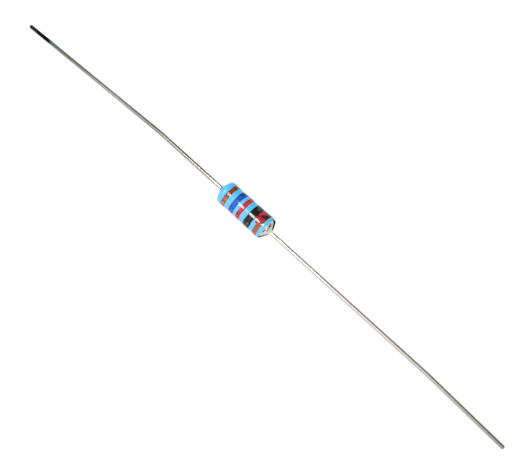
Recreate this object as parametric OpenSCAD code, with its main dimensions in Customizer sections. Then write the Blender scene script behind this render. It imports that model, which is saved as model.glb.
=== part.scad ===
// Axial metal-film resistor with colour bands and two wire leads.
// Millimetres. The body lies along X with its middle at the origin, and +Z is up.
// The tinned end that the lacquer leaves bare is at +X.
// Profiles are drawn as [radius, place along the axis] and turned about the body's axis.

/* [Ceramic rod] */
// Diameter of the ceramic rod
core_d = 1.9; // [1.6:0.05:2.2]
// Length of the ceramic rod
core_l = 5.39; // [5:0.01:6]
// Chamfer round both ends of the rod
core_chamfer = 0.12; // [0.05:0.01:0.2]

/* [Metal film] */
// Thickness of the film, drawn far thicker than the real one
film_t = 0.02; // [0.01:0.005:0.04]
// Width of the spiral cut that trims the film to value
kerf_w = 0.1; // [0.06:0.01:0.14]
// Turns that the spiral cut makes
kerf_turns = 6; // [4:1:8]
// Uncut film between each cap and the spiral cut
kerf_margin = 0.3; // [0.1:0.05:0.4]

/* [End caps] */
// Sheet thickness of the pressed caps
cap_wall = 0.16; // [0.1:0.02:0.18]
// Length of rod that each cap grips
cap_grip = 0.9; // [0.7:0.05:1.2]
// Half-angle of the caps' tapered ends, measured from the axis
cap_taper = 61; // [58:1:68]
// Outside radius of the bend between a cap's skirt and its tapered end
cap_edge_r = 0.16; // [0.1:0.02:0.24]
// Diameter of the flat that the lead is welded to
cap_flat_d = 0.72; // [0.6:0.02:0.9]

/* [Lacquer] */
// Thickness of the lacquer round the bare end's cap
coat_cap_t = 0.08; // [0.04:0.01:0.12]
// Thickness of the bead that the lacquer forms round the coated end's cap
coat_bead_t = 0.12; // [0.05:0.01:0.16]
// Thickness of the lacquer over the coated cap's tapered end
coat_cone_t = 0.03; // [0.02:0.01:0.06]
// Radius of the shoulder between the bead and the tapered end
coat_shoulder_r = 0.26; // [0.2:0.02:0.34]
// Width of the bead, from the shoulder to the foot of its slope
coat_bead_w = 0.34; // [0.34:0.02:0.9]
// Length of the slope from the bead down to the waist
bead_slope_l = 0.3; // [0.2:0.02:0.32]
// Thickness of the lacquer over the film, at the waist
coat_waist_t = 0.23; // [0.2:0.01:0.28]
// Length of the slope from the bare end's bulge down to the waist
coat_slope_l = 0.7; // [0.3:0.05:1]
// Share of the weld's fillet that the lacquer climbs at the coated end
coat_climb = 0.7; // [0.4:0.05:1]

/* [Colour bands] */
// Thickness of the ink
band_t = 0.015; // [0.005:0.005:0.03]
// Width of each band, from the coated end
band_w = [0.44, 0.57, 0.46, 0.75, 0.52];
// Middle of each band along the body
band_x = [-2.09, -1.04, -0.17, 1, 2.08];
// Width of the smear that ran from the last band towards the fourth
smear_w = 0.44; // [0.1:0.02:0.44]
// Part of the turn that the smear covers, in degrees
smear_turn = 100; // [40:5:160]
// Where the smear starts round the body, in degrees from +Z towards -Y
smear_start = 10; // [0:5:40]

/* [Leads] */
// Diameter of the lead wire
lead_d = 0.4; // [0.35:0.05:0.6]
// Height of the weld fillet round the foot of each lead
weld_h = 0.22; // [0.12:0.02:0.3]
// Length of each lead from its cap to its tip
lead_l = 28.7; // [26:0.1:32]
// Straight length of the coated end's lead before its bend
coated_stub_l = 8.8; // [2:0.2:20]
// Straight length of the bare end's lead before its bend
bare_stub_l = 19.4; // [2:0.2:20]
// Radius of both bends, to the wire's middle
bend_r = 14; // [4:1:16]
// How far the tip of the coated end's lead lies to the -Y side
coated_side_w = 0.7; // [0:0.1:1.2]
// How far the tip of the bare end's lead lies to the -Y side
bare_side_w = 0.1; // [0:0.1:1.2]
// Chamfer that the cutter leaves on the tips
tip_chamfer = 0.04; // [0.02:0.01:0.08]

/* [Hidden] */
$fn = 64;

// Air left between two pieces that touch, so that their faces never cross.
fit_gap = 0.004;
// Flats round the film, whose faces are flat because its spiral edges are.
film_flats = 36;
// Straight steps in each rounded stretch of a profile.
arc_steps = 8;
slope_steps = 10;

core_r = core_d / 2;
film_stretch = 1 / cos(180 / film_flats);
film_in_r = core_r * film_stretch;
film_out_r = (core_r + film_t) * film_stretch;
film_half_l = core_l / 2 - core_chamfer;

cap_bore_r = film_out_r + fit_gap;
cap_r = cap_bore_r + cap_wall;
cap_mouth = core_l / 2 - cap_grip;
cap_floor = core_l / 2 + fit_gap;
cap_flat_r = cap_flat_d / 2;
cap_top = cap_floor + (cap_bore_r - cap_flat_r) / tan(cap_taper) + cap_wall;
cap_corner = cap_top - (cap_r - cap_flat_r) / tan(cap_taper);
cap_skirt_end = cap_corner - cap_edge_r * tan(cap_taper / 2);

coat_in_r = film_out_r + fit_gap;
bulge_r = cap_r + coat_cap_t;
bead_r = cap_r + coat_bead_t;
rest_r = max(bulge_r, bead_r) + fit_gap + band_t;
waist_r = film_out_r + coat_waist_t;
slope_start = cap_mouth + coat_slope_l / 2;
slope_foot = slope_start - coat_slope_l;
cone_end = [cap_flat_r, cap_top] + coat_cone_t * [cos(cap_taper), sin(cap_taper)];
bead_corner = cone_end[1] - (bead_r - cone_end[0]) / tan(cap_taper);
bead_edge = bead_corner - coat_shoulder_r * tan(cap_taper / 2);
bead_foot = bead_edge - coat_bead_w;
bead_start = bead_foot + bead_slope_l;

kerf_start = -cap_mouth + kerf_margin;
kerf_pitch = -2 * kerf_start / kerf_turns;

lead_r = lead_d / 2;
lead_foot = cap_top + fit_gap;
bend_neck = 0.002;
bend_lap = 0.03;

function on_arc(centre, r, from, to) =
    [for (i = [0:arc_steps]) let (a = from + (to - from) * i / arc_steps)
        centre + r * [cos(a), sin(a)]];

function mirrored(points) = [for (p = points) [p[0], -p[1]]];

function reversed(points) = [for (i = [len(points) - 1:-1:0]) points[i]];

// The outside of a cap's end, from its skirt to its flat, moved outwards by grow.
function cap_end(grow) = concat(
    on_arc([cap_r - cap_edge_r, cap_skirt_end], cap_edge_r + grow, 0, cap_taper),
    [[cap_flat_r, cap_top] + grow * [cos(cap_taper), sin(cap_taper)]]
);

// The hollow weld fillet from a cap's flat to a lead, moved outwards by grow, up to a share of it.
function weld_side(grow, share = 1) =
    [for (i = [0:arc_steps]) let (a = 90 * share * i / arc_steps, foot_r = cap_flat_r - fit_gap)
        [foot_r + grow - (foot_r - lead_r) * sin(a), lead_foot + grow + (weld_h - grow) * (1 - cos(a))]];

// The lacquer's outside radius at a place along the body: the waist, and a slope up to each end.
function coat_r(x) =
    let (
        share = x < 0 ? (-x - bead_foot) / bead_slope_l : (x - slope_foot) / coat_slope_l,
        rise = (x < 0 ? bead_r : bulge_r) - waist_r
    )
    waist_r + rise * (1 - cos(180 * min(1, max(0, share)))) / 2;

// Points of the lacquer's outside over one slope.
function coat_slope(from, to) =
    [for (i = [0:slope_steps]) let (x = from + (to - from) * i / slope_steps) [coat_r(x), x]];

// The outside of the lacquer's closed end, from its bead over a shoulder to the cap's flat.
function coat_end() = concat(
    on_arc([bead_r - coat_shoulder_r, bead_edge], coat_shoulder_r, 0, cap_taper),
    [cone_end]
);

module along_body(points) {
    rotate([0, 90, 0])
        rotate_extrude()
            polygon(points);
}

module ceramic_core() {
    half = [
        [core_r, core_l / 2 - core_chamfer],
        [core_r - core_chamfer, core_l / 2],
        [0, core_l / 2]
    ];
    color("white")
        along_body(concat(half, reversed(mirrored(half))));
}

// A sleeve of flats between two places along the axis.
module film_sleeve(from, to) {
    translate([0, 0, from])
        linear_extrude(to - from)
            difference() {
                polygon([for (i = [1:film_flats]) film_corner(film_out_r, i)]);
                polygon([for (i = [1:film_flats]) film_corner(film_in_r, i)]);
            }
}

function film_corner(r, step) =
    let (a = 360 * step / film_flats) [r * cos(a), r * sin(a)];

// The strip that the spiral cut leaves, from inside one sleeve to inside the other.
module film_strip() {
    steps = film_flats * (kerf_turns + 1);
    width = kerf_pitch - kerf_w;
    function edge(r, step, drop) =
        concat(film_corner(r, step), kerf_start + kerf_pitch * step / film_flats - kerf_w / 2 - drop);
    corners = [for (step = [0:steps]) each [
        edge(film_in_r, step, width), edge(film_out_r, step, width),
        edge(film_out_r, step, 0), edge(film_in_r, step, 0)
    ]];
    sides = [for (step = [0:steps - 1], side = [0:3])
        let (a = 4 * step + side, b = 4 * step + (side + 1) % 4)
        each [[a, b, b + 4], [a, b + 4, a + 4]]];
    polyhedron(corners, concat([[3, 2, 1, 0]], sides, [[for (i = [0:3]) 4 * steps + i]]));
}

module resistive_film() {
    color("dimgray")
        rotate([0, 90, 0]) {
            film_sleeve(-film_half_l, kerf_start);
            film_sleeve(-kerf_start, film_half_l);
            film_strip();
        }
}

module end_cap() {
    inside = [
        [0, cap_top - cap_wall],
        [cap_flat_r, cap_top - cap_wall],
        [cap_bore_r, cap_floor],
        [cap_bore_r, cap_mouth]
    ];
    outside = concat([[cap_r, cap_mouth]], cap_end(0), [[0, cap_top]]);
    color("lightgray")
        along_body(concat(inside, outside));
}

// One lead, drawn at +X. It droops after its bend until the tip lies on what the body lies on.
// The wire is a hair thinner round the bend, and both straight stretches reach over its ends.
module lead(stub, side) {
    outer = lead_l - stub;
    fall = rest_r - lead_r;
    angle = asin(norm([fall, side]) / outer);
    corner = lead_foot + stub;
    trim = bend_r * tan(angle / 2);
    foot_end = corner - trim + bend_lap;
    foot = concat([[0, lead_foot]], weld_side(0), [[lead_r, foot_end], [0, foot_end]]);
    shaft = [
        [0, trim - bend_lap],
        [lead_r, trim - bend_lap],
        [lead_r, outer - tip_chamfer],
        [lead_r - tip_chamfer, outer],
        [0, outer]
    ];
    rotate([0, 90, 0])
        rotate([0, 0, atan2(-side, fall)]) {
            rotate_extrude()
                polygon(foot);
            translate([bend_r, 0, corner - trim])
                rotate([90, 0, 180])
                    rotate_extrude(angle = angle)
                        translate([bend_r, 0])
                            circle(lead_r - bend_neck);
            translate([0, 0, corner])
                rotate([0, angle, 0])
                    rotate_extrude()
                        polygon(shaft);
        }
}

module lacquer_coat() {
    outside = concat(
        mirrored(reversed(concat(coat_end(), weld_side(coat_cone_t, coat_climb)))),
        coat_slope(-bead_start, -bead_foot),
        coat_slope(slope_foot, slope_start),
        on_arc([cap_r, cap_skirt_end - coat_cap_t], coat_cap_t, 0, 90)
    );
    inside = concat(
        [[cap_r + fit_gap, cap_skirt_end]],
        [[cap_r + fit_gap, cap_mouth - fit_gap], [coat_in_r, cap_mouth - fit_gap]],
        [[coat_in_r, fit_gap - cap_mouth], [cap_r + fit_gap, fit_gap - cap_mouth]],
        mirrored(concat(cap_end(fit_gap), weld_side(fit_gap, coat_climb)))
    );
    color("deepskyblue")
        along_body(concat(outside, inside));
}

// A layer of ink between two places along the body, round a part of the turn from +Z.
module ink(from, to, start = 0, turn = 360) {
    steps = 8;
    under = [for (i = [0:steps]) let (x = from + (to - from) * i / steps) [coat_r(x) + fit_gap, x]];
    over = [for (p = under) p + [band_t, 0]];
    rotate([0, 90, 0])
        rotate([0, 0, 180 + start])
            mirror([0, 1, 0])
                rotate_extrude(angle = turn)
                    polygon(concat(under, reversed(over)));
}

module band(number, paint) {
    start = band_x[number - 1] - band_w[number - 1] / 2;
    color(paint)
        ink(start, start + band_w[number - 1]);
}

// The last band, whose ink ran towards the fourth on one side of the body.
module smeared_band(paint) {
    start = band_x[4] - band_w[4] / 2;
    color(paint) {
        band(5, paint);
        ink(start - smear_w, start, smear_start, smear_turn);
    }
}

ceramic_core();
resistive_film();
mirror([1, 0, 0]) end_cap();  // end_cap_coated
end_cap();  // end_cap_bare
color("silver") mirror([1, 0, 0]) lead(coated_stub_l, coated_side_w);  // lead_coated
color("silver") lead(bare_stub_l, bare_side_w);  // lead_bare
lacquer_coat();
band(1, "sienna");  // band_1_brown
band(2, "royalblue");  // band_2_blue
band(3, "crimson");  // band_3_red
band(4, "black");  // band_4_black
smeared_band("brown");  // band_5_brown
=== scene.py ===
# %% [markdown]
# # An axial resistor, seen from above
#
# The object is a small film resistor: a ceramic rod with a metal film, pressed steel caps on both
# ends, two tinned wires welded to the caps, a light blue lacquer over nearly all of it, and five
# rings of ink that tell its value.
#
# The solids are already built to size. This script dresses them: every piece stays where it is, finer
# meshes of the same form stand in for the coarse solids, and each surface gets its real finish.

# %% Load the solids
import math

import bmesh
import bpy
from mathutils import Matrix, Vector, noise


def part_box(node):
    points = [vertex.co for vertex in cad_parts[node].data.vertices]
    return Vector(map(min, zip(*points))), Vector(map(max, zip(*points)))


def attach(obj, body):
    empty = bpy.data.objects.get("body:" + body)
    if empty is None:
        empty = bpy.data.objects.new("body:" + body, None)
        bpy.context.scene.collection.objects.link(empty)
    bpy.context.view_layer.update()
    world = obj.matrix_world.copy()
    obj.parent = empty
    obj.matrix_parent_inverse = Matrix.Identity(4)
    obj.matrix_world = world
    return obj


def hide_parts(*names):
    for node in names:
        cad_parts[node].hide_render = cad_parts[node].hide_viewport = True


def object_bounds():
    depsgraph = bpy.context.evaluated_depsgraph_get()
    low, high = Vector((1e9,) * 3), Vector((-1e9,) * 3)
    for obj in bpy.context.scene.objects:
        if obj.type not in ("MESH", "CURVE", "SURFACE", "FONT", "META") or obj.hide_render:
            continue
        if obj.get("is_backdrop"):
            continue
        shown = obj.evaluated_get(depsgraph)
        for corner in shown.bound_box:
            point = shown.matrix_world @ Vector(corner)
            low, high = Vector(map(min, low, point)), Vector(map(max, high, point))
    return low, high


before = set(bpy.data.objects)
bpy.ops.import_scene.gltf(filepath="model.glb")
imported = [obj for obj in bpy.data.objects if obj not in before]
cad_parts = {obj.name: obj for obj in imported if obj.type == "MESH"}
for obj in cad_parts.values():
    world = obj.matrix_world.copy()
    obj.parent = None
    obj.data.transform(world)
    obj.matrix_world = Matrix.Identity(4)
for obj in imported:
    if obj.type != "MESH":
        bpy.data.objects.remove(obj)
cad_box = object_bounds()
scene = bpy.context.scene
MM = 0.001
print("solids:", ", ".join(sorted(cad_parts)))

# %% [markdown]
# ## Sizes that come with the solids
#
# A scene should never guess a size that the model already knows. Most sizes are read from the
# boxes of the solids. The few that a box can't tell, such as a rounding, repeat the model's own
# values here. All are in millimetres.

# %% Sizes of the body, the caps and the leads
BAND_NODES = ["band_1_brown", "band_2_blue", "band_3_red", "band_4_black", "band_5_brown"]
AIR = 0.004
INK_T = 0.015
COAT_SLOPE_L = 0.7
COAT_BEAD_W = 0.34
BEAD_SLOPE_L = 0.3
COAT_CONE_T = 0.03
COAT_SHOULDER_R = 0.26
COAT_CLIMB = 0.7
CAP_TAPER = math.radians(61)
CAP_EDGE_R = 0.16
CAP_FLAT_R = 0.36
CAP_WALL = 0.16
LEAD_R = 0.2
WELD_H = 0.22
TIP_CHAMFER = 0.04
BEND_R = 14


def high(node, axis):
    """The highest place of a solid along an axis, in millimetres."""
    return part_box(node)[1][axis] / MM


def low(node, axis):
    """The lowest place of a solid along an axis, in millimetres."""
    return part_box(node)[0][axis] / MM


bead_r = high("lacquer_coat", 2)
bulge_r = high("band_5_brown", 2) - INK_T - AIR
waist_r = high("band_3_red", 2) - INK_T - AIR
rest_r = max(bead_r, bulge_r) + AIR + INK_T
cap_r = high("end_cap_bare", 2)
cap_mouth = low("end_cap_bare", 0)
cap_top = high("end_cap_bare", 0)
cap_corner = cap_top - (cap_r - CAP_FLAT_R) / math.tan(CAP_TAPER)
cap_skirt_end = cap_corner - CAP_EDGE_R * math.tan(CAP_TAPER / 2)
cap_bore_r = cap_r - CAP_WALL
cap_floor = cap_top - CAP_WALL - (cap_bore_r - CAP_FLAT_R) / math.tan(CAP_TAPER)
coat_inner_r = high("resistive_film", 2) + AIR
coat_cap_t = bulge_r - cap_r
cone_end = (cap_top + COAT_CONE_T * math.sin(CAP_TAPER), CAP_FLAT_R + COAT_CONE_T * math.cos(CAP_TAPER))
bead_corner = cone_end[0] - (bead_r - cone_end[1]) / math.tan(CAP_TAPER)
bead_edge = bead_corner - COAT_SHOULDER_R * math.tan(CAP_TAPER / 2)
bead_foot = bead_edge - COAT_BEAD_W
slope_foot = cap_mouth - COAT_SLOPE_L / 2
lead_foot = cap_top + AIR
print(f"body {2 * cap_top:.2f} mm long, lying {rest_r:.2f} mm over the table")
print(f"bead {2 * bead_r:.2f}, waist {2 * waist_r:.2f} and other end {2 * bulge_r:.2f} mm thick")

# %% [markdown]
# ## The camera first
#
# The photograph looks almost straight down on the part from close by. The camera's direction is
# given by two angles, as a compass and a level would give it: how far round it stands and how high.
# The part isn't quite in the middle of the picture, so the camera also stands a little to one side.

# %% Camera at the photograph's viewing angle
VIEW_ROUND = math.radians(43.08)
VIEW_HEIGHT = math.radians(76.52)
VIEW_DISTANCE = 50.2
PART_RIGHT = -1.77
PART_UP = 2.43
LENS = 35

view_right = Vector((math.cos(VIEW_ROUND), math.sin(VIEW_ROUND), 0))
view_back = Vector((
    math.sin(VIEW_ROUND) * math.cos(VIEW_HEIGHT),
    -math.cos(VIEW_ROUND) * math.cos(VIEW_HEIGHT),
    math.sin(VIEW_HEIGHT),
))
view_up = view_back.cross(view_right)
camera_data = bpy.data.cameras.new("camera")
camera_data.lens = LENS
camera_data.clip_start = 0.001
camera_data.clip_end = 10
camera = bpy.data.objects.new("camera", camera_data)
camera_at = VIEW_DISTANCE * view_back - PART_RIGHT * view_right - PART_UP * view_up
turned_axes = Matrix((view_right, view_up, view_back)).transposed().to_4x4()
camera.matrix_world = Matrix.Translation(camera_at * MM) @ turned_axes
scene.collection.objects.link(camera)
scene.camera = camera
print("camera at", [round(c, 2) for c in camera_at], "mm")

# %% [markdown]
# ## One helper for node trees
#
# Materials and Geometry Nodes are both made of nodes and links, so one helper serves both. It adds
# a node, sets its properties, and fills its inputs with values or with what another node puts out.
# Colours are hex values, as a picture editor shows them, turned to the linear ones of light. The two
# kinds of node that come most often, for sums and for moving a range of numbers, get short names.

# %% Helpers for nodes and colours
MATH = "ShaderNodeMath"
MAP_RANGE = "ShaderNodeMapRange"


def colour(code):
    """Linear colour from an sRGB hex value such as #5fc3f7."""
    parts = [int(code[i:i + 2], 16) / 255 for i in (1, 3, 5)]
    return [p / 12.92 if p <= 0.04045 else ((p + 0.055) / 1.055) ** 2.4 for p in parts] + [1]


def add_node(tree, kind, inputs=None, **settings):
    """Adds a node. An input's value is a number, a hex colour, another node or a node's output."""
    node = tree.nodes.new(kind)
    for name, value in settings.items():
        setattr(node, name, value)
    for key, value in (inputs or {}).items():
        named = [s for s in node.inputs if s.name == key and s.enabled]
        socket = named[0] if named else node.inputs[key]
        if isinstance(value, bpy.types.Node):
            value = next(s for s in value.outputs if s.enabled)
        if isinstance(value, bpy.types.NodeSocket):
            tree.links.new(value, socket)
        elif isinstance(value, str):
            socket.default_value = colour(value)
        else:
            socket.default_value = value
    return node


def new_material(name):
    """A new material and its node tree, still empty."""
    material = bpy.data.materials.new(name)
    material.use_nodes = True
    material.node_tree.nodes.clear()
    return material, material.node_tree


# %% [markdown]
# ## How a surface reads its own place
#
# Every pattern below is worked out from Object coordinates, which stay with the piece. They are in
# metres, so a pattern of a given grain needs a scale of one over that grain. A Mapping node squeezes
# it along an axis, or moves it, so that two patterns on one surface don't repeat each other.
#
# A finish is built like a painting: a ground colour, then layers, each with a share that says where
# and how strongly it shows. A mark is a layer too. It sits round one place and has a ragged edge.

# %% Patterns from places
MARK_GRAIN = 0.15
MARK_RAGGED = 0.25
MARK_EDGE = 1.3
MARK_CORE = 0.4


def grain(tree, size, detail=3, rough=0.55, stretch=(1, 1, 1), warp=0, move=0):
    """Noise whose spots are about size millimetres, squeezed by stretch along each axis."""
    place = add_node(tree, "ShaderNodeTexCoord").outputs["Object"]
    scaled = add_node(tree, "ShaderNodeMapping", {
        "Vector": place, "Location": (move * MM, 0, 0), "Scale": stretch})
    return add_node(tree, "ShaderNodeTexNoise", {
        "Vector": scaled, "Scale": 1 / (size * MM), "Detail": detail, "Roughness": rough, "Distortion": warp})


def spots(tree, size, start, end, most=1, **more):
    """A share that is 0 on most of the surface and highest in the middle of scattered spots."""
    return add_node(tree, MAP_RANGE, {
        "Value": grain(tree, size, **more), "From Min": start, "From Max": end, "To Max": most})


def ramp_along(tree, axis, start, end, most=1):
    """A share that grows from 0 to its most between two places in millimetres along X, Y or Z."""
    place = add_node(tree, "ShaderNodeTexCoord").outputs["Object"]
    along = add_node(tree, "ShaderNodeSeparateXYZ", {"Vector": place}).outputs[axis]
    return add_node(tree, MAP_RANGE, {
        "Value": along, "From Min": start * MM, "From Max": end * MM, "To Max": most})


def part_along(tree, start, full_from, full_to, end):
    """A share that is 1 on a part of the way along X, in millimetres, and fades to 0 on both sides."""
    rise = ramp_along(tree, "X", start, full_from)
    fall = ramp_along(tree, "X", end, full_to)
    return add_node(tree, MATH, {0: rise, 1: fall}, operation="MULTIPLY")


def layered(tree, tint, *layers):
    """A ground colour with layers on it. Each layer has a share and a colour."""
    for share, layer in layers:
        tint = add_node(tree, "ShaderNodeMix", {"Factor": share, "A": tint, "B": layer}, data_type="RGBA")
    return tint


def with_marks(tree, tint, marks):
    """A colour with marks on it that have ragged edges. Each has a place, a radius and a colour."""
    place = add_node(tree, "ShaderNodeTexCoord").outputs["Object"]
    noise_colour = grain(tree, MARK_GRAIN, detail=2).outputs["Color"]
    centred = add_node(tree, "ShaderNodeVectorMath", {
        0: noise_colour, 1: (0.5, 0.5, 0.5)}, operation="SUBTRACT")
    ragged = add_node(tree, "ShaderNodeVectorMath", {
        0: centred, 1: [MARK_RAGGED * MM] * 3, 2: place}, operation="MULTIPLY_ADD")
    for middle, radius, mark_colour in marks:
        away = add_node(tree, "ShaderNodeVectorMath", {
            0: ragged, 1: Vector(middle) * MM}, operation="DISTANCE").outputs["Value"]
        share = add_node(tree, MAP_RANGE, {
            "Value": away, "From Min": MARK_EDGE * radius * MM, "From Max": MARK_CORE * radius * MM})
        tint = layered(tree, tint, (share, mark_colour))
    return tint


def end_surface(tree, tint, height, depth, inputs):
    """Ends a material's tree: a surface of this colour, with fine relief of a depth in millimetres."""
    relief = add_node(tree, "ShaderNodeBump", {"Height": height, "Distance": depth * MM, "Strength": 1.0})
    surface = add_node(tree, "ShaderNodeBsdfPrincipled", {"Base Color": tint, "Normal": relief, **inputs})
    add_node(tree, "ShaderNodeOutputMaterial", {"Surface": surface})


# %% [markdown]
# ## Tinned copper wire
#
# The leads are drawn copper, dipped in tin. Tin is a soft grey metal: it mirrors its surroundings,
# but in a blur, because the dip leaves it slightly rough and the drawing die leaves fine lines along
# the wire. A thin skin of oxide darkens the mirror where it is seen edge-on, which Specular Tint does
# for a metal. A metal's colour is the colour of its mirror, so the grey goes into Base Color, with
# Metallic at 1. The drawn lines are finer than a pixel, so they are drawn about four times too coarse.
#
# Handling and age dull the tin. The lacquered end's lead is greyer on most of its length, and dark
# and bluish at its cut tip. The other one only fades towards its tip. Where the lacquer ends, brown
# flux is left in spots. At the bare weld it is a white crust. Flux isn't metal, so Metallic goes down.

# %% Wire finish
WIRE_TIP = low("lead_coated", 0)
TARNISH_DARK_L = 3.2
TARNISH_FADE_L = 16
AGED = (-20, -14, -lead_foot - 1.8, -lead_foot - 0.5)
BROWN_FLUX = (-lead_foot - 0.8, -lead_foot - 0.3, -1, 0)
WHITE_FLUX = (0, 1, lead_foot + 0.12, lead_foot + 0.34)
CRUST_METAL = 0.1


def tinned_wire():
    material, tree = new_material("tinned_copper_wire")
    patches = grain(tree, 0.9, detail=4, stretch=(0.3, 1, 1))
    fade = ramp_along(tree, "X", WIRE_TIP + TARNISH_FADE_L, WIRE_TIP + TARNISH_DARK_L, most=0.85)
    darker = ramp_along(tree, "X", WIRE_TIP + 0.3, WIRE_TIP + 0.6 * TARNISH_DARK_L)
    dark_tip = ramp_along(tree, "X", WIRE_TIP + 1.1 * TARNISH_DARK_L, WIRE_TIP + 0.95 * TARNISH_DARK_L)
    far_end = ramp_along(tree, "X", -WIRE_TIP - TARNISH_FADE_L, -WIRE_TIP, most=0.8)
    flux_spots = spots(tree, 0.16, 0.46, 0.6, detail=2)
    flux = add_node(tree, MATH, {0: part_along(tree, *BROWN_FLUX), 1: flux_spots}, operation="MULTIPLY")
    crust = part_along(tree, *WHITE_FLUX)
    tint = layered(
        tree, "#d6cec8", (patches, "#f8f2ec"), (part_along(tree, *AGED), "#aeaba0"), (fade, "#9ca892"),
        (dark_tip, layered(tree, "#5a6a6e", (darker, "#1a2c34"))), (far_end, "#b8baa2"),
        (flux, "#6b5a4a"), (crust, "#f6f2ea"))
    metal = add_node(tree, MAP_RANGE, {"Value": crust, "To Min": 1, "To Max": CRUST_METAL})
    rough = add_node(tree, MAP_RANGE, {"Value": patches, "To Min": 0.22, "To Max": 0.36})
    lines = grain(tree, 0.03, detail=2, stretch=(0.02, 1, 1))
    end_surface(tree, tint, lines, 0.0012, {
        "Metallic": metal, "Roughness": rough, "Specular Tint": "#50483f"})
    return material


wire_finish = tinned_wire()
print("made", wire_finish.name)

# %% [markdown]
# ## Tinned steel caps
#
# The caps are stamped from thin tin-plated steel strip and pressed on the rod. The plating is bright
# but satin, and pressing leaves faint rings round the axis. A thin cream crust of dried flux lies on
# the end that shows, in patches, and all over it round the weld.
#
# From a slanted line just above the axis downwards the cap is painted dark, a painted reflection, and
# further down patches are left out of it. Flux and thinned lacquer that crept over the edge show as sage
# clouds. A few marks, each on the place where the photograph shows it, are partly flux stains and partly
# painted reflections.

# %% Cap finish
# Painted reflection: below a slanted plane the cap is painted dark, and lower down patches are left out of
# it.
PAINTED_REFLECTION_PLANE = (0.6, -0.36, 1)
PAINTED_REFLECTION_FROM = 0.32
PAINTED_REFLECTION_FULL = 0.2
REFLECTION_GAPS_FROM = -0.15
REFLECTION_GAPS_FULL = -0.6
# Marks on the cap: partly flux stains, partly painted reflections.
CAP_STAINS_AND_PAINTED_REFLECTIONS = [
    ((2.73, 0.82, 0.77), 0.13, "#b4def2"),
    ((2.85, 0.43, 0.90), 0.12, "#b4ae70"),
    ((2.87, 0.25, 0.92), 0.18, "#040606"),
    ((2.99, 0.02, 0.75), 0.11, "#a8866c"),
    ((3.01, -0.22, 0.67), 0.12, "#365a40"),
    ((2.84, -0.39, 0.93), 0.11, "#6a7038"),
    ((2.83, -0.56, 0.87), 0.13, "#122650"),
    ((2.85, -0.69, 0.73), 0.12, "#b88088"),
    ((3.07, -0.42, 0.42), 0.12, "#dceab8"),
]


def painted_reflection_share(tree):
    """The share of the painted reflection: 0 on the cap's top, 1 from a slanted plane down, with patches left
    out lower down.
    """
    place = add_node(tree, "ShaderNodeTexCoord").outputs["Object"]
    height = add_node(tree, "ShaderNodeVectorMath", {
        0: place, 1: PAINTED_REFLECTION_PLANE}, operation="DOT_PRODUCT").outputs["Value"]
    level = PAINTED_REFLECTION_PLANE[0] * cap_top
    # The first share is the painted reflection. The second is the zone where patches of it are left out.
    dark, reflection_gap_zone = (
        add_node(tree, MAP_RANGE, {
            "Value": height, "From Min": (level + start) * MM, "From Max": (level + full) * MM})
        for start, full in ((PAINTED_REFLECTION_FROM, PAINTED_REFLECTION_FULL), (REFLECTION_GAPS_FROM, REFLECTION_GAPS_FULL)))
    patches = spots(tree, 0.45, 0.4, 0.56, detail=4, warp=0.4, move=17)
    reflection_gaps = add_node(tree, MATH, {0: reflection_gap_zone, 1: patches}, operation="MULTIPLY")
    return add_node(tree, MATH, {0: dark, 1: reflection_gaps}, operation="SUBTRACT", use_clamp=True)


def tinned_steel():
    material, tree = new_material("tinned_steel_cap")
    stains = grain(tree, 0.3, detail=3, warp=0.5)
    sage = spots(tree, 0.22, 0.54, 0.64, detail=2, move=3)
    # The painted reflection: the cap's lower side is painted dark, #0c1212, with patches left out.
    dark = painted_reflection_share(tree)
    tint = layered(tree, "#dcdfd0", (stains, "#fffefa"), (sage, "#b4c4a0"), (dark, "#0c1212"))
    patches = spots(tree, 0.35, 0.36, 0.56, detail=2, move=11)
    near_weld = ramp_along(tree, "X", cap_top - 0.2, cap_top - 0.06)
    crust = add_node(tree, MATH, {0: patches, 1: near_weld}, operation="MAXIMUM")
    # The part of the cap outside the painted reflection.
    clear_of_painted_reflection = add_node(tree, MATH, {0: 1, 1: dark}, operation="SUBTRACT")
    crusted = add_node(tree, MATH, {0: crust, 1: clear_of_painted_reflection}, operation="MULTIPLY")
    metal = add_node(tree, MAP_RANGE, {"Value": crusted, "To Min": 1, "To Max": CRUST_METAL})
    rough = add_node(tree, MAP_RANGE, {"Value": stains, "To Min": 0.28, "To Max": 0.42})
    press_rings = grain(tree, 0.05, detail=2, stretch=(1, 0.15, 0.15))
    # The marks added here are partly flux stains and partly painted reflections.
    end_surface(tree, with_marks(tree, tint, CAP_STAINS_AND_PAINTED_REFLECTIONS), press_rings, 0.002, {
        "Metallic": metal, "Roughness": rough, "Specular Tint": "#10181a"})
    return material


cap_finish = tinned_steel()
print("made", cap_finish.name)

# %% [markdown]
# ## Blue lacquer
#
# The body is rolled in an epoxy lacquer that is coloured right through and dries glossy. Epoxy is a
# plastic, so Metallic stays 0 and the gloss is that of a clear varnish. A painted sheen makes it paler
# on the -Y side and purer on the +Y side. It has faint clouds towards cyan, and its finest unevenness is
# orange peel.

# %% Lacquer finish


def blue_lacquer():
    material, tree = new_material("blue_epoxy_lacquer")
    # Painted sheen: the lacquer is painted paler towards -Y and purer towards +Y.
    side = ramp_along(tree, "Y", -1.1, 1.0)
    clouds = spots(tree, 0.6, 0.45, 0.75, most=0.6, detail=3)
    pale = spots(tree, 0.45, 0.5, 0.8, most=0.5, detail=2, move=5)
    tint = layered(tree, "#78c0f6", (side, "#4cc6fe"), (clouds, "#56ceec"), (pale, "#96cdfb"))
    end_surface(tree, tint, grain(tree, 0.22, detail=2), 0.0015, {"Roughness": 0.12, "IOR": 1.38})
    return material


lacquer_finish = blue_lacquer()
print("made", lacquer_finish.name)

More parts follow.
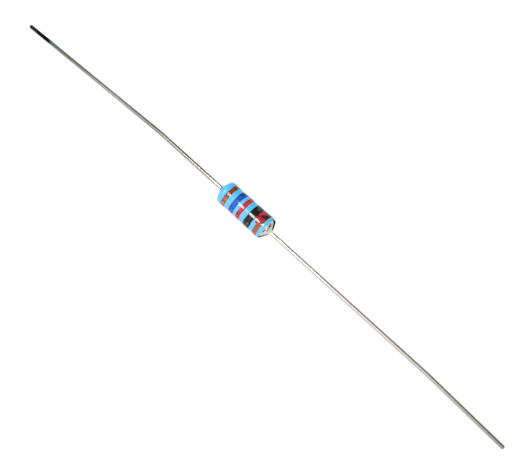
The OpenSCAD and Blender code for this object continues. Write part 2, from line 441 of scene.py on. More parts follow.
# %% [markdown]
# ## Printed inks
#
# Each ring is put on by a wheel that rolls wet ink round the body. The layer is mottled: darker where
# it lies thick, paler where it lies thin, with a third colour in a few spots, and darker again along
# its rims. A few marks stand where the photograph shows them. The last ring is special: its brown ran
# into a dark red smear towards the black ring on one side, so its material mixes two such inks.

# %% Ink finish
RIM_W = 0.15
RIM_SHARE = 0.85
RUN_FROM_Y = -0.75
RUN_FULL_Y = -0.1
BROWN_MARKS = [
    ((-2.08, 0.26, 1.17), 0.26, "#a83208"),
    ((-1.98, 0.75, 0.94), 0.22, "#5c2408"),
    ((-2.07, -0.73, 0.96), 0.26, "#b0703c"),
    ((-2.05, -1.09, 0.51), 0.26, "#cc7a5c"),
]
BLUE_MARKS = [((-1.2, 0.86, 0.83), 0.42, "#001478")]
RED_MARKS = [((-0.30, -0.95, 0.74), 0.15, "#6a1438"), ((-0.04, -1.09, 0.52), 0.15, "#8c1e44")]
BLACK_MARKS = [
    ((1.22, -0.47, 1.11), 0.17, "#04103c"),
    ((1.34, 0.36, 1.15), 0.15, "#00060c"),
    ((1.10, 0.70, 0.98), 0.14, "#4c6256"),
    ((1.06, -1.01, 0.66), 0.14, "#586860"),
]
RUN_MARKS = [
    ((2.14, 0.66, 1.03), 0.36, "#4c0014"),
    ((2.20, 0.85, 0.88), 0.2, "#160004"),
    ((1.84, 0.42, 1.14), 0.2, "#520a2c"),
    ((1.62, 0.70, 0.98), 0.2, "#cc4858"),
    ((1.80, -0.10, 1.20), 0.22, "#b43a30"),
]


def ink_colour(tree, thin, thick, fleck, fleck_size=0.2):
    """An ink's mottle between its thin and thick colours, with flecks of a third one."""
    mottle = spots(tree, 0.2, 0.36, 0.64, detail=4, rough=0.6)
    flecks = spots(tree, fleck_size, 0.58, 0.68, detail=2, move=9)
    return layered(tree, thin, (mottle, thick), (flecks, fleck))


def end_ink(tree, tint):
    """Ends an ink's tree with a glossy, slightly lumpy surface."""
    end_surface(tree, tint, grain(tree, 0.16, detail=3), 0.0012, {"Roughness": 0.11, "IOR": 1.42})


def plain_ink(name, node, rim, *colours, marks=()):
    """An ink that is darker along its rims, where it gathers before it dries."""
    material, tree = new_material(name)
    start_rim = ramp_along(tree, "X", low(node, 0) + RIM_W, low(node, 0), most=RIM_SHARE)
    end_rim = ramp_along(tree, "X", high(node, 0) - RIM_W, high(node, 0), most=RIM_SHARE)
    rims = add_node(tree, MATH, {0: start_rim, 1: end_rim}, operation="MAXIMUM")
    tint = layered(tree, ink_colour(tree, *colours), (rims, rim))
    end_ink(tree, with_marks(tree, tint, marks))
    return material


def run_ink():
    """The last ring's ink: brown, but dark red where it ran, and nearly black where it lies thickest."""
    material, tree = new_material("run_brown_ink")
    brown = ink_colour(tree, "#b8663c", "#8a4a34", "#d08040")
    red = with_marks(tree, ink_colour(tree, "#c23a42", "#5e0e2c", "#2c0420", 0.26), RUN_MARKS)
    far_side = ramp_along(tree, "Y", RUN_FROM_Y, RUN_FULL_Y)
    end_ink(tree, layered(tree, brown, (far_side, red)))
    return material


band_finishes = [
    plain_ink("brown_ink", "band_1_brown", "#3a1a16", "#b4542a", "#7c3418", "#8c3048", marks=BROWN_MARKS),
    plain_ink("dark_blue_ink", "band_2_blue", "#1c48a8", "#3670da", "#1c4cb4", "#0e2a74", marks=BLUE_MARKS),
    plain_ink("red_ink", "band_3_red", "#b02038", "#ea3c3e", "#c2263a", "#8e2038", marks=RED_MARKS),
    plain_ink("black_ink", "band_4_black", "#121010", "#252422", "#111110", "#465048", marks=BLACK_MARKS),
    run_ink(),
]
print("made", ", ".join(finish.name for finish in band_finishes))

# %% [markdown]
# ## What lies under the lacquer
#
# The rod and the film don't show, but an opened model should look right too. The rod is fired
# alumina, which is white, slightly grainy and barely glossy. The film is a nickel and chrome alloy,
# only microns thick on the real part, and looks like dark grey metal.

# %% Inner finishes


def fired_alumina():
    material, tree = new_material("fired_alumina")
    specks = grain(tree, 0.08)
    end_surface(tree, layered(tree, "#e6e3da", (specks, "#f6f4ee")), specks, 0.003, {"Roughness": 0.6})
    return material


def nickel_chrome_film():
    material, tree = new_material("nickel_chrome_film")
    haze = grain(tree, 0.3)
    rough = add_node(tree, MAP_RANGE, {"Value": haze, "To Min": 0.3, "To Max": 0.45})
    surface = add_node(tree, "ShaderNodeBsdfPrincipled", {
        "Base Color": layered(tree, "#5b5a58", (haze, "#7a7876")), "Metallic": 1, "Roughness": rough})
    add_node(tree, "ShaderNodeOutputMaterial", {"Surface": surface})
    return material


inner_finishes = {
    "ceramic_core": fired_alumina(),
    "resistive_film": nickel_chrome_film(),
    "end_cap_coated": cap_finish,
}
for node_name, finish in inner_finishes.items():
    node_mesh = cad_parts[node_name].data
    node_mesh.materials.clear()
    node_mesh.materials.append(finish)
print("dressed", ", ".join(inner_finishes))

# %% [markdown]
# ## Turned pieces
#
# The cap and the lacquer are round about the axis, so each is an outline turned about X, as on a
# lathe. An outline is a closed loop of places: along X, and out from X. The function closes the poles
# with a single point, and gives each point its small unevenness while it turns.

# %% Turn an outline about X
AROUND = 256
CONE_STEPS = 10
SHARP = math.radians(40)


def turned(name, outline, uneven):
    """Turns a closed outline of (along, out) in millimetres. uneven(point) gives a point's last place."""
    shell = bmesh.new()
    loops = []
    for along, out in outline:
        ring = []
        for step in range(AROUND if out > 0 else 1):
            angle = 2 * math.pi * step / AROUND
            point = Vector((along, out * math.sin(angle), out * math.cos(angle)))
            ring.append(shell.verts.new(uneven(point) * MM))
        loops.append(ring)
    for here, there in zip(loops, loops[1:] + loops[:1]):
        for step in range(AROUND if len(here) + len(there) > 2 else 0):
            corners = [here[step % len(here)], here[(step + 1) % len(here)]]
            corners += [there[(step + 1) % len(there)], there[step % len(there)]]
            shell.faces.new(list(dict.fromkeys(corners)))
    bmesh.ops.recalc_face_normals(shell, faces=shell.faces)
    mesh = bpy.data.meshes.new(name)
    shell.to_mesh(mesh)
    shell.free()
    return mesh


def on_arc(along, out, radius, start, end, steps=16):
    """Points on an arc round (along, out), with angles measured from straight outwards."""
    angles = [start + (end - start) * i / steps for i in range(steps + 1)]
    return [(along + radius * math.sin(a), out + radius * math.cos(a)) for a in angles]


def straight(start, end, steps):
    """Points from start up to, but not at, end."""
    return [tuple(a + (b - a) * i / steps for a, b in zip(start, end)) for i in range(steps)]


def add_piece(mesh, name, finish):
    """An object at the origin that shows a mesh with one finish, smooth between its sharp edges."""
    mesh.materials.clear()
    mesh.materials.append(finish)
    mesh.shade_smooth()
    mesh.set_sharp_from_angle(angle=SHARP)
    piece = bpy.data.objects.new(name, mesh)
    scene.collection.objects.link(piece)
    return piece


def share_between(value, start, end):
    """How far a value has gone from start to end, from 0 to 1."""
    return min(1, max(0, (value - start) / (end - start)))


# %% [markdown]
# ## The bare cap
#
# At one end the lacquer stops at the cap's corner, and the pressed steel shows: a rounded corner, a
# cone, and the small flat that the wire is welded to. The press set this cap's end a little askew, so
# the cone reaches further out on the +Y side. Only what lies past the skirt leans, and it leans less
# again along the wire, because the weld pulled straight.

# %% Bare end cap
CAP_LEAN = 0.1
LEAN_FADE_L = 1


def askew(point):
    """Moves a point of the bare cap's end along X, by how far it lies to the side."""
    rise = share_between(point.x, cap_skirt_end, cap_corner)
    fall = share_between(point.x, cap_top + LEAN_FADE_L, cap_top + AIR)
    return point + Vector((CAP_LEAN * rise * fall * point.y, 0, 0))


def cap_end(grow):
    """The outside of a cap's end, from its skirt to its flat, moved outwards by grow."""
    corner = on_arc(cap_skirt_end, cap_r - CAP_EDGE_R, CAP_EDGE_R + grow, 0, CAP_TAPER)
    flat = (cap_top + grow * math.sin(CAP_TAPER), CAP_FLAT_R + grow * math.cos(CAP_TAPER))
    return corner + straight(corner[-1], flat, CONE_STEPS)[1:] + [flat]


cap_inside = [
    (cap_top - CAP_WALL, 0), (cap_top - CAP_WALL, CAP_FLAT_R), (cap_floor, cap_bore_r),
    (cap_mouth, cap_bore_r),
]
cap_outline = cap_inside + [(cap_mouth, cap_r)] + cap_end(0) + [(cap_top, 0)]
bare_cap = add_piece(turned("bare_end_cap", cap_outline, askew), "bare_end_cap", cap_finish)
print("cap:", len(bare_cap.data.polygons), "faces")

# %% [markdown]
# ## The lacquer
#
# The lacquer covers one cap wholly and climbs part of the way up its weld, dips between the caps, and
# stops in a round edge at the other cap's corner. A bead of it stands round the closed end. The solid
# has only a thin skin on the cone there. The photograph shows a fuller one, so it is pushed out.
#
# Each slope follows half a cosine, so it has no corners. On top lie shallow necks and swellings, each
# given as a place along the body and a height, and a slow swell of a few microns. A lamp's reflection
# shows where the surface runs level and goes out where it slopes, so the necks decide where the bright
# line along the body is broken. The rings of ink follow it all.

# %% Shape of the lacquer
NECKS = [(2.44, 0.012), (2.34, 0), (1.87, 0), (1.45, -0.04), (0.8, -0.004), (0.1, 0)]
SWELLINGS = [(0.12, -0.009), (0.38, -0.02), (0.64, 0), (1.85, 0), (1.95, -0.006), (2.32, 0.02),
             (2.5, 0.02), (2.6, 0)]
SWELL = 0.006
SWELL_GRAIN = 1.1
RIM_RAGGED = 0.05
RIM_WAVES = 2.5
SURFACE_DEPTH = 0.02
profile = [(-place, height) for place, height in NECKS] + SWELLINGS


def end_shape(along):
    """The radius of the body's end on this side, and where the slope up to it starts and how long it is."""
    return (bead_r, bead_foot, BEAD_SLOPE_L) if along < 0 else (bulge_r, slope_foot, COAT_SLOPE_L)


def coat_r(along):
    """The lacquer's even outside radius: the waist, and a slope up to each end."""
    end_r, foot, slope_l = end_shape(along)
    climbed = share_between(abs(along), foot, foot + slope_l)
    return waist_r + (end_r - waist_r) * (1 - math.cos(math.pi * climbed)) / 2


def swelling(along):
    """Height of the necks and swellings at a place, on straight lines between the profile's places."""
    height = 0
    for (start, start_height), (end, end_height) in zip(profile, profile[1:]):
        if start <= along < end:
            height = start_height + (end_height - start_height) * share_between(along, start, end)
    return height


def unevenness(point):
    """How far the lacquer's outside stands above its even form at a point."""
    level = Vector((0, point.y, point.z)).normalized() * coat_r(point.x)
    swell = noise.noise((level + Vector((point.x, 0, 0))) / SWELL_GRAIN) - 0.5
    return swelling(point.x) + SWELL * swell


def uneven_coat(point):
    """A lacquer point's last place. Its outside swells, and its edge at the bare cap wanders."""
    out = Vector((0, point.y, point.z))
    if out.length < waist_r - SURFACE_DEPTH:
        return point
    near_rim = share_between(point.x, cap_skirt_end - 2 * coat_cap_t, cap_skirt_end)
    wander = RIM_RAGGED * near_rim * noise.noise(RIM_WAVES * point)
    return point + out.normalized() * unevenness(point) + Vector((wander, 0, 0))


# %% [markdown]
# The outline has a place about every 0.04 mm, enough to show the unevenness.

# %% Lacquer coat
COAT_STEP = 0.04
CONE_FULL = 0.1


def weld_side(grow, share, steps=12):
    """The hollow fillet from the cap's flat to the wire, moved outwards by grow, up to a share of it."""
    foot_r = CAP_FLAT_R - AIR
    angles = [math.pi / 2 * share * i / steps for i in range(steps + 1)]
    return [(lead_foot + grow + (WELD_H - grow) * (1 - math.cos(a)),
             foot_r + grow - (foot_r - LEAD_R) * math.sin(a)) for a in angles]


def coat_end():
    """The outside of the closed end: a shoulder under the bead, a cone, and the start of the weld."""
    arc = on_arc(bead_edge, bead_r - COAT_SHOULDER_R, COAT_SHOULDER_R, 0, CAP_TAPER)
    cone = straight(arc[-1], cone_end, CONE_STEPS)[1:] + [cone_end]
    weld = weld_side(COAT_CONE_T, COAT_CLIMB)
    pushes = [i / (len(arc) - 1) for i in range(len(arc))] + [1] * len(cone)
    pushes += [1 - i / (len(weld) - 1) for i in range(len(weld))]
    return [(along + CONE_FULL * push, out) for (along, out), push in zip(arc + cone + weld, pushes)]


def mirrored(points):
    """The same outline at the other end of the body."""
    return [(-along, out) for along, out in points]


coat_stop = cap_skirt_end - coat_cap_t
coat_steps = round((bead_edge + coat_stop) / COAT_STEP)
middle_places = [-bead_edge + (bead_edge + coat_stop) * i / coat_steps for i in range(1, coat_steps)]
middle = [(along, coat_r(along)) for along in middle_places]
rim = on_arc(coat_stop, cap_r, coat_cap_t, 0, math.pi / 2)
coat_outside = mirrored(coat_end())[::-1] + middle + rim
coat_inside = [
    (cap_skirt_end, cap_r + AIR), (cap_mouth - AIR, cap_r + AIR), (cap_mouth - AIR, coat_inner_r),
    (AIR - cap_mouth, coat_inner_r), (AIR - cap_mouth, cap_r + AIR),
] + mirrored(cap_end(AIR) + weld_side(AIR, COAT_CLIMB))
coat_mesh = turned("lacquer_skin", coat_outside + coat_inside, uneven_coat)
lacquer_skin = add_piece(coat_mesh, "lacquer_skin", lacquer_finish)
print("lacquer:", len(coat_mesh.polygons), "faces")

# %% [markdown]
# ## The rings of ink, with Geometry Nodes
#
# Five rings follow one rule: a thin layer between two places along the body, wrapped round it, with
# edges that wander where the ink was wet. A rule with a few numbers is what Geometry Nodes are for.
# The tree bends a flat grid: one side of the grid becomes the way round the body, and the other
# becomes the loop round the layer's own section, flat on top so that a lamp's reflection crosses it
# unbroken. Noise read on a circle meets itself without a seam. Where ink ran, the ring grows wider on
# part of its turn, and thinner towards the far side of the smear.

# %% Tree for one ring
RING_STEPS = 360
SECTION_STEPS = 96
SMEAR_SOFT = math.radians(8)
SMEAR_THIN = 0.5
SMEAR_THIN_L = 0.1
EDGE_ROUNDNESS = 0.12


def add_sockets(tree, numbers):
    """Gives a node group its number inputs, a material input, and geometry in and out."""
    for way in ("INPUT", "OUTPUT"):
        tree.interface.new_socket("Geometry", in_out=way, socket_type="NodeSocketGeometry")
    for name in numbers:
        tree.interface.new_socket(name, in_out="INPUT", socket_type="NodeSocketFloat")
    tree.interface.new_socket("Material", in_out="INPUT", socket_type="NodeSocketMaterial")


def finish_tree(tree, given, mesh):
    """Ends a tree as every tree here ends: merged, real, and with its material."""
    merged = add_node(tree, "GeometryNodeMergeByDistance", {"Geometry": mesh, "Distance": 1e-5 * MM})
    real = add_node(tree, "GeometryNodeRealizeInstances", {"Geometry": merged})
    dressed = add_node(tree, "GeometryNodeSetMaterial", {
        "Geometry": real, "Material": given["Material"]})
    add_node(tree, "NodeGroupOutput", {"Geometry": dressed})


def ring_tree():
    tree = bpy.data.node_groups.new("ink_ring", "GeometryNodeTree")
    add_sockets(tree, ["Start", "End", "Waist Radius", "End Radius", "Slope Foot", "Slope Length",
                       "Thickness", "Raggedness", "Smear Width", "Smear From", "Smear To", "Seed"])
    given = add_node(tree, "NodeGroupInput").outputs
    grid = add_node(tree, "GeometryNodeMeshGrid", {
        "Size X": 1, "Size Y": 1, "Vertices X": SECTION_STEPS + 1, "Vertices Y": RING_STEPS + 1})
    place = add_node(tree, "GeometryNodeInputPosition")
    corner = add_node(tree, "ShaderNodeSeparateXYZ", {"Vector": place})
    section = add_node(tree, MATH, {0: corner.outputs["X"], 1: 2 * math.pi}, operation="MULTIPLY")
    turn = add_node(tree, MATH, {0: corner.outputs["Y"], 1: 2 * math.pi}, operation="MULTIPLY")
    turn_cos = add_node(tree, MATH, {0: turn}, operation="COSINE")
    turn_sin = add_node(tree, MATH, {0: turn}, operation="SINE")

    edges = []
    for name, step in (("Start", 0), ("End", 5)):
        seed = add_node(tree, MATH, {0: given["Seed"], 1: step}, operation="ADD")
        spot = add_node(tree, "ShaderNodeCombineXYZ", {"X": turn_cos, "Y": turn_sin, "Z": seed})
        wander = add_node(tree, "ShaderNodeTexNoise", {
            "Vector": spot, "Scale": 1.6, "Detail": 5, "Roughness": 0.62})
        centred = add_node(tree, MATH, {0: wander, 1: 0.5}, operation="SUBTRACT")
        offset = add_node(tree, MATH, {0: centred, 1: given["Raggedness"]}, operation="MULTIPLY")
        edges.append(add_node(tree, MATH, {0: given[name], 1: offset}, operation="ADD"))

    smear = given["Smear Width"]
    for limit, before, after in (("Smear From", 0, 1), ("Smear To", 1, 0)):
        first = add_node(tree, MATH, {0: given[limit], 1: SMEAR_SOFT}, operation="SUBTRACT")
        last = add_node(tree, MATH, {0: given[limit], 1: SMEAR_SOFT}, operation="ADD")
        here = add_node(tree, MAP_RANGE, {
            "Value": turn, "From Min": first, "From Max": last, "To Min": before, "To Max": after},
            interpolation_type="SMOOTHSTEP")
        smear = add_node(tree, MATH, {0: smear, 1: here}, operation="MULTIPLY")
    start = add_node(tree, MATH, {0: edges[0], 1: smear}, operation="SUBTRACT")

    section_cos = add_node(tree, MATH, {0: section}, operation="COSINE")
    share = add_node(tree, MATH, {0: section_cos, 1: 0.5, 2: 0.5}, operation="MULTIPLY_ADD")
    along = add_node(tree, MAP_RANGE, {"Value": share, "To Min": start, "To Max": edges[1]})
    distance = add_node(tree, MATH, {0: along}, operation="ABSOLUTE")
    slope_end = add_node(tree, MATH, {
        0: given["Slope Foot"], 1: given["Slope Length"]}, operation="ADD")
    coat = add_node(tree, MAP_RANGE, {
        "Value": distance, "From Min": given["Slope Foot"], "From Max": slope_end,
        "To Min": given["Waist Radius"], "To Max": given["End Radius"]}, interpolation_type="SMOOTHSTEP")

    section_sin = add_node(tree, MATH, {0: section}, operation="SINE")
    upper = add_node(tree, MATH, {0: section_sin, 1: 0}, operation="MAXIMUM")
    rise = add_node(tree, MATH, {0: upper, 1: EDGE_ROUNDNESS}, operation="POWER")
    layer = add_node(tree, MATH, {0: rise, 1: given["Thickness"]}, operation="MULTIPLY")
    smear_side = add_node(tree, MATH, {
        0: given["Start"], 1: given["Smear Width"]}, operation="SUBTRACT")
    thin_from = add_node(tree, MATH, {0: smear_side, 1: SMEAR_THIN_L * MM}, operation="SUBTRACT")
    thinning = add_node(tree, MAP_RANGE, {
        "Value": along, "From Min": thin_from, "From Max": given["Start"], "To Min": SMEAR_THIN, "To Max": 1})
    thinned = add_node(tree, MATH, {0: layer, 1: thinning}, operation="MULTIPLY")
    out = add_node(tree, MATH, {0: coat, 1: thinned}, operation="ADD")
    out_y = add_node(tree, MATH, {0: out, 1: turn_sin}, operation="MULTIPLY")
    out_z = add_node(tree, MATH, {0: out, 1: turn_cos}, operation="MULTIPLY")
    minus_y = add_node(tree, MATH, {0: out_y, 1: -1}, operation="MULTIPLY")
    bent_place = add_node(tree, "ShaderNodeCombineXYZ", {"X": along, "Y": minus_y, "Z": out_z})
    bent = add_node(tree, "GeometryNodeSetPosition", {"Geometry": grid, "Position": bent_place})
    finish_tree(tree, given, bent)
    return tree


ink_tree = ring_tree()
print("ring tree:", len(ink_tree.nodes), "nodes")

# %% [markdown]
# ## From a tree to a plain mesh
#
# A modifier's inputs are set by the socket's identifier. Then the object is evaluated once, the
# result is taken as a plain mesh, and the modifier goes. What is left is an ordinary piece, whose
# points may get their last small unevenness, as the turned pieces' points do.

# %% Run a tree once


def grown(name, tree, values, uneven, start_data=None):
    """Runs a Geometry Nodes tree with these values and returns its result as a plain mesh."""
    holder = bpy.data.objects.new(name, start_data or bpy.data.meshes.new(name))
    scene.collection.objects.link(holder)
    modifier = holder.modifiers.new("grow", "NODES")
    modifier.node_group = tree
    sockets = {s.name: s.identifier for s in tree.interface.items_tree if s.in_out == "INPUT"}
    for socket, value in values.items():
        modifier[sockets[socket]] = value
    evaluated = holder.evaluated_get(bpy.context.evaluated_depsgraph_get())
    mesh = bpy.data.meshes.new_from_object(evaluated)
    holder.modifiers.clear()
    bpy.data.objects.remove(holder)
    shell = bmesh.new()
    shell.from_mesh(mesh)
    for point in shell.verts:
        point.co = uneven(point.co / MM) * MM
    bmesh.ops.recalc_face_normals(shell, faces=shell.faces)
    shell.to_mesh(mesh)
    shell.free()
    mesh.name = name
    return mesh


# %% [markdown]
# The rings differ only in their numbers. The last one's solid holds the smear, so the ring itself
# starts further on, and the smear reaches back to the black ring and a little under it.

# %% Make the five rings
SMEAR_L = 0.44
SMEAR_UNDER = 0.06
SMEAR_FROM = math.radians(-90)
SMEAR_TO = math.radians(21)
BAND_RAGGED = 0.12


def uneven_ink(point):
    """An ink point's last place: it follows the lacquer that it lies on."""
    return point + Vector((0, point.y, point.z)).normalized() * unevenness(point)


rings = {}
for seed, (band_node, band_finish) in enumerate(zip(BAND_NODES, band_finishes), start=1):
    smeared = band_node == BAND_NODES[-1]
    end_r, foot, slope_l = end_shape(low(band_node, 0))
    ring_values = {
        "Start": (low(band_node, 0) + SMEAR_L * smeared) * MM, "End": high(band_node, 0) * MM,
        "Waist Radius": waist_r * MM, "End Radius": end_r * MM,
        "Slope Foot": foot * MM, "Slope Length": slope_l * MM,
        "Thickness": (INK_T + AIR) * MM, "Raggedness": BAND_RAGGED * MM,
        "Smear Width": (SMEAR_L + SMEAR_UNDER) * smeared * MM, "Smear From": SMEAR_FROM,
        "Smear To": SMEAR_TO, "Seed": 11.0 * seed, "Material": band_finish,
    }
    ring_name = band_node + "_ink"
    ring_mesh = grown(ring_name, ink_tree, ring_values, uneven_ink)
    rings[band_node] = add_piece(ring_mesh, ring_name, band_finish)
    print(ring_name, len(ring_mesh.polygons), "faces")

# %% [markdown]
# ## The leads, with Geometry Nodes
#
# A lead is a wire that follows a path: straight out of the cap, one slow bend, and straight again
# until its tip lies on the table. The path is a curve with a point wherever the thickness changes.
# The tree sweeps a circle along it. Near the foot the wire spreads into the weld, by the same hollow
# fillet that the lacquer's edge has, and at the tip the cutter leaves a small chamfer.

# %% Path of a lead
FOOT_STEPS = 12
STUB_STEPS = 8
BEND_STEPS = 24
STRAIGHT_STEPS = 12


def lead_path(node, stub, side, sign):
    """Points of a lead's middle line in millimetres. It droops after its bend and turns to a side.

    The tip's place and the bend's angle depend on each other, and a few rounds settle both.
    """
    fall = rest_r - LEAD_R
    corner = lead_foot + stub
    sideways = math.hypot(fall, side)
    furthest = abs(low(node, 0) if sign < 0 else high(node, 0))
    angle = math.atan(sideways / (furthest - corner))
    for attempt in range(4):
        tip = furthest - (LEAD_R - TIP_CHAMFER) * math.sin(angle)
        angle = math.asin(sideways / math.hypot(tip - corner, sideways))
    outer = math.hypot(tip - corner, sideways)
    trim = BEND_R * math.tan(angle / 2)
    down = Vector((0, -side / sideways, -fall / sideways))
    axis = Vector((1, 0, 0))
    way = axis * math.cos(angle) + down * math.sin(angle)
    points = [axis * (lead_foot + WELD_H * (1 - math.cos(math.pi / 2 * i / FOOT_STEPS)))
              for i in range(FOOT_STEPS + 1)]
    stub_l = stub - trim - WELD_H
    points += [axis * (lead_foot + WELD_H + stub_l * i / STUB_STEPS) for i in range(1, STUB_STEPS + 1)]
    for i in range(1, BEND_STEPS + 1):
        bend = angle * i / BEND_STEPS
        points.append(axis * (corner - trim + BEND_R * math.sin(bend)) + down * BEND_R * (1 - math.cos(bend)))
    start = axis * corner + way * trim
    straight_l = outer - trim
    places = [straight_l * i / STRAIGHT_STEPS for i in range(1, STRAIGHT_STEPS)]
    points += [start + way * place for place in places + [straight_l - TIP_CHAMFER, straight_l]]
    return [Vector((sign * p.x, p.y, p.z)) for p in points]


def path_curve(name, points):
    """A curve object's data that passes through the points, in metres."""
    data = bpy.data.curves.new(name, "CURVE")
    data.dimensions = "3D"
    spline = data.splines.new("POLY")
    spline.points.add(len(points) - 1)
    for place, point in zip(spline.points, points):
        place.co = (*(point * MM), 1)
    return data


# %% [markdown]
# The weld's hollow fillet is a quarter of an ellipse, so it takes a square and a square root.

# %% Tree for one lead
WIRE_SIDES = 48


def wire_tree():
    tree = bpy.data.node_groups.new("swept_wire", "GeometryNodeTree")
    add_sockets(tree, ["Wire Radius", "Foot Radius", "Foot Height", "Tip Chamfer"])
    given = add_node(tree, "NodeGroupInput").outputs
    travelled = add_node(tree, "GeometryNodeSplineParameter").outputs["Length"]
    whole = add_node(tree, "GeometryNodeSplineLength").outputs["Length"]
    climbed = add_node(tree, MAP_RANGE, {
        "Value": travelled, "From Max": given["Foot Height"], "To Min": 1, "To Max": 0})
    squared = add_node(tree, MATH, {0: climbed, 1: climbed}, operation="MULTIPLY")
    rest = add_node(tree, MATH, {0: 1, 1: squared}, operation="SUBTRACT")
    hollow = add_node(tree, MATH, {0: rest}, operation="SQRT")
    wide = add_node(tree, MAP_RANGE, {
        "Value": hollow, "To Min": given["Foot Radius"], "To Max": given["Wire Radius"]})
    to_tip = add_node(tree, MATH, {0: whole, 1: travelled}, operation="SUBTRACT")
    short = add_node(tree, MATH, {0: given["Tip Chamfer"], 1: to_tip}, operation="SUBTRACT")
    cut = add_node(tree, MATH, {0: short, 1: 0}, operation="MAXIMUM")
    radius = add_node(tree, MATH, {0: wide, 1: cut}, operation="SUBTRACT")
    circle = add_node(tree, "GeometryNodeCurvePrimitiveCircle", {"Resolution": WIRE_SIDES, "Radius": 1})
    wire = add_node(tree, "GeometryNodeCurveToMesh", {
        "Curve": given["Geometry"], "Profile Curve": circle, "Scale": radius, "Fill Caps": True})
    finish_tree(tree, given, wire)
    return tree


# %% [markdown]
# Three numbers tell the leads apart: how far each runs straight, how far its tip lies to the side, and
# which end it is on. The bare end's wire leans with its cap.

# %% Make the two leads
LEADS = {"lead_coated": (8.8, 0.7, -1), "lead_bare": (19.4, 0.1, 1)}
swept_wire = wire_tree()
wires = {}
for lead_node, (stub_l, side_w, direction) in LEADS.items():
    lead_name = lead_node + "_wire"
    path = path_curve(lead_name + "_path", lead_path(lead_node, stub_l, side_w, direction))
    wire_values = {
        "Wire Radius": LEAD_R * MM, "Foot Radius": (CAP_FLAT_R - AIR) * MM, "Foot Height": WELD_H * MM,
        "Tip Chamfer": TIP_CHAMFER * MM, "Material": wire_finish,
    }
    wire_mesh = grown(lead_name, swept_wire, wire_values, askew, path)
    wires[lead_node] = add_piece(wire_mesh, lead_name, wire_finish)
    print(lead_name, len(wire_mesh.polygons), "faces")

# %% [markdown]
# ## Each piece on its place in the frame
#
# A dressed piece rides with the part's body and says which solid it stands for, and that solid is
# hidden. The solids that stay are the inner ones, which already have their finish.

# %% Tie the pieces to the frame
dressed = [
    (bare_cap, "end_cap_bare", "tinned_cap"), (lacquer_skin, "lacquer_coat", "blue_lacquer"),
    (wires["lead_coated"], "lead_coated", "tinned_wire"), (wires["lead_bare"], "lead_bare", "tinned_wire"),
]
INK_SLOTS = ["brown_ink", "dark_blue_ink", "red_ink", "black_ink", "brown_ink"]
dressed += [(rings[node], node, ink_slot) for node, ink_slot in zip(BAND_NODES, INK_SLOTS)]
for piece, solid, slot in dressed:
    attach(piece, "root")
    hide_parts(solid)
    print(piece.name, "stands for", solid)

# %% [markdown]
# ## A white table
#
# The part lies on plain white paper, a real matt surface: it takes the part's soft shadow, and the
# metal mirrors both. What the camera sees of it is mostly a plain white glow, which lifts it to the
# clean white of the picture without more light on the part. Further out, where the lamps hardly
# reach, it is all glow, so the paper's end doesn't show in low views. Mirrors see some of the glow
# too. The world works the same way: white for the camera, dim and even for light on matt surfaces,
# and dark for reflections, which gives the bright wires their dark edges.

# %% Table and world
PAPER_SIZE = 3000
PAPER_GLOW = 0.82
PAPER_GLOW_LEVEL = 1.1
PAPER_LIT_R = 50
PAPER_FAR_R = 250
PAPER_GLOW_IN_METAL = 0.15
ROOM_IN_METAL = 0.17
ROOM_FILL = 0.36


def by_ray(tree, camera_level, mirror_level, matt_level):
    """One number for camera rays, another for rays off gloss or through glass, a third for the rest."""
    path = add_node(tree, "ShaderNodeLightPath").outputs
    either = add_node(tree, MATH, {
        0: path["Is Glossy Ray"], 1: path["Is Transmission Ray"]}, operation="MAXIMUM")
    rest = add_node(tree, MAP_RANGE, {"Value": either, "To Min": matt_level, "To Max": mirror_level})
    return add_node(tree, MAP_RANGE, {
        "Value": path["Is Camera Ray"], "To Min": rest, "To Max": camera_level})


def white_paper():
    material, tree = new_material("white_paper")
    place = add_node(tree, "ShaderNodeTexCoord").outputs["Object"]
    distance = add_node(tree, "ShaderNodeVectorMath", {0: place}, operation="LENGTH").outputs["Value"]
    camera_share = add_node(tree, MAP_RANGE, {
        "Value": distance, "From Min": PAPER_LIT_R * MM, "From Max": PAPER_FAR_R * MM, "To Min": PAPER_GLOW})
    share = by_ray(tree, camera_share, PAPER_GLOW_IN_METAL, 0)
    tint = layered(tree, "#ebebeb", (grain(tree, 0.25), "#f4f4f4"))
    sheet = add_node(tree, "ShaderNodeBsdfPrincipled", {
        "Base Color": tint, "Roughness": 1, "Specular IOR Level": 0})
    glow = add_node(tree, "ShaderNodeEmission", {"Color": "#ffffff", "Strength": PAPER_GLOW_LEVEL})
    mixed = add_node(tree, "ShaderNodeMixShader", {0: share, 1: sheet, 2: glow})
    add_node(tree, "ShaderNodeOutputMaterial", {"Surface": mixed})
    return material


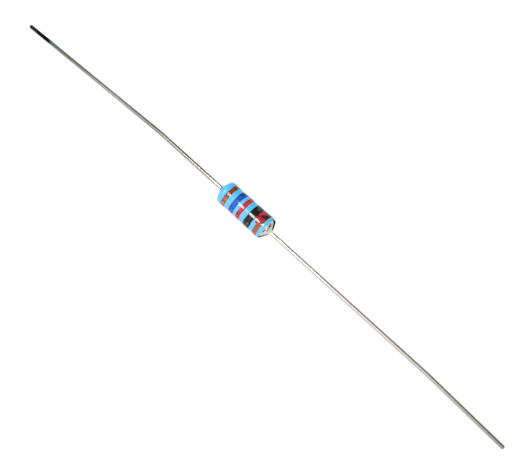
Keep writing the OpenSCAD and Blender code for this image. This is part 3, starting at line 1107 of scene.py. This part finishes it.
paper_mesh = bpy.data.meshes.new("paper")
paper_half = PAPER_SIZE / 2 * MM
paper_z = cad_box[0][2]
paper_corners = [(x * paper_half, y * paper_half, paper_z) for x, y in ((-1, -1), (1, -1), (1, 1), (-1, 1))]
paper_mesh.from_pydata(paper_corners, [], [(0, 1, 2, 3)])
add_piece(paper_mesh, "paper", white_paper())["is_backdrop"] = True

world = bpy.data.worlds.new("studio")
world.use_nodes = True
world.node_tree.nodes.clear()
room_level = by_ray(world.node_tree, 1, ROOM_IN_METAL, ROOM_FILL)
room = add_node(world.node_tree, "ShaderNodeBackground", {"Color": "#ffffff", "Strength": room_level})
add_node(world.node_tree, "ShaderNodeOutputWorld", {"Surface": room})
scene.world = world
print("table at", round(paper_z / MM, 3), "mm")

# %% [markdown]
# ## The studio light
#
# Two soft lamps light the part. A small bright one hangs almost where the camera is: a round, glossy
# body mirrors it as a thin line along its middle. A wide, dimmer one reaches from over the part down
# to the near side, like a slanted window. It gives the near half of every round surface a soft sheen
# and the wires their white core. A lamp is set by how bright its face is, and its power follows from
# its size: power = brightness x pi x area.

# %% Lamps


def soft_lamp(name, aim, distance, length, width, level):
    """A rectangular lamp that faces the part, its length level with X. Sizes in millimetres."""
    data = bpy.data.lights.new(name, "AREA")
    data.shape = "RECTANGLE"
    data.size = length * MM
    data.size_y = width * MM
    data.energy = level * math.pi * data.size * data.size_y
    lamp = bpy.data.objects.new(name, data)
    face = Vector(aim).normalized()
    across = face.cross(Vector((1, 0, 0))).normalized()
    axes = Matrix((across.cross(face), across, face)).transposed().to_4x4()
    lamp.matrix_world = Matrix.Translation(face * distance * MM) @ axes
    scene.collection.objects.link(lamp)
    print(name, "lamp:", round(data.energy, 4), "W")


def lean(turn, tilt):
    """A direction tilted from straight up towards -Y, then turned towards -X, in degrees."""
    turn, tilt = math.radians(turn), math.radians(tilt)
    return (-math.sin(turn), -math.sin(tilt) * math.cos(turn), math.cos(tilt) * math.cos(turn))


soft_lamp("key", lean(12.5, 9.9), distance=200, length=28, width=68, level=28)
soft_lamp("window", lean(0, 34), distance=300, length=520, width=560, level=0.85)

# %% [markdown]
# ## Colours as they are written
#
# The Standard view shows a colour as it was mixed, with no film look on top, so that the hex values
# above can be compared with the picture. Last, the box of the dressed part is printed. The dress
# may not be bigger than the body.

# %% View settings and sizes
scene.view_settings.view_transform = "Standard"
dressed_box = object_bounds()
for axis_name, small, large in zip("xyz", *dressed_box):
    print(axis_name, round(small / MM, 3), "to", round(large / MM, 3), "mm")
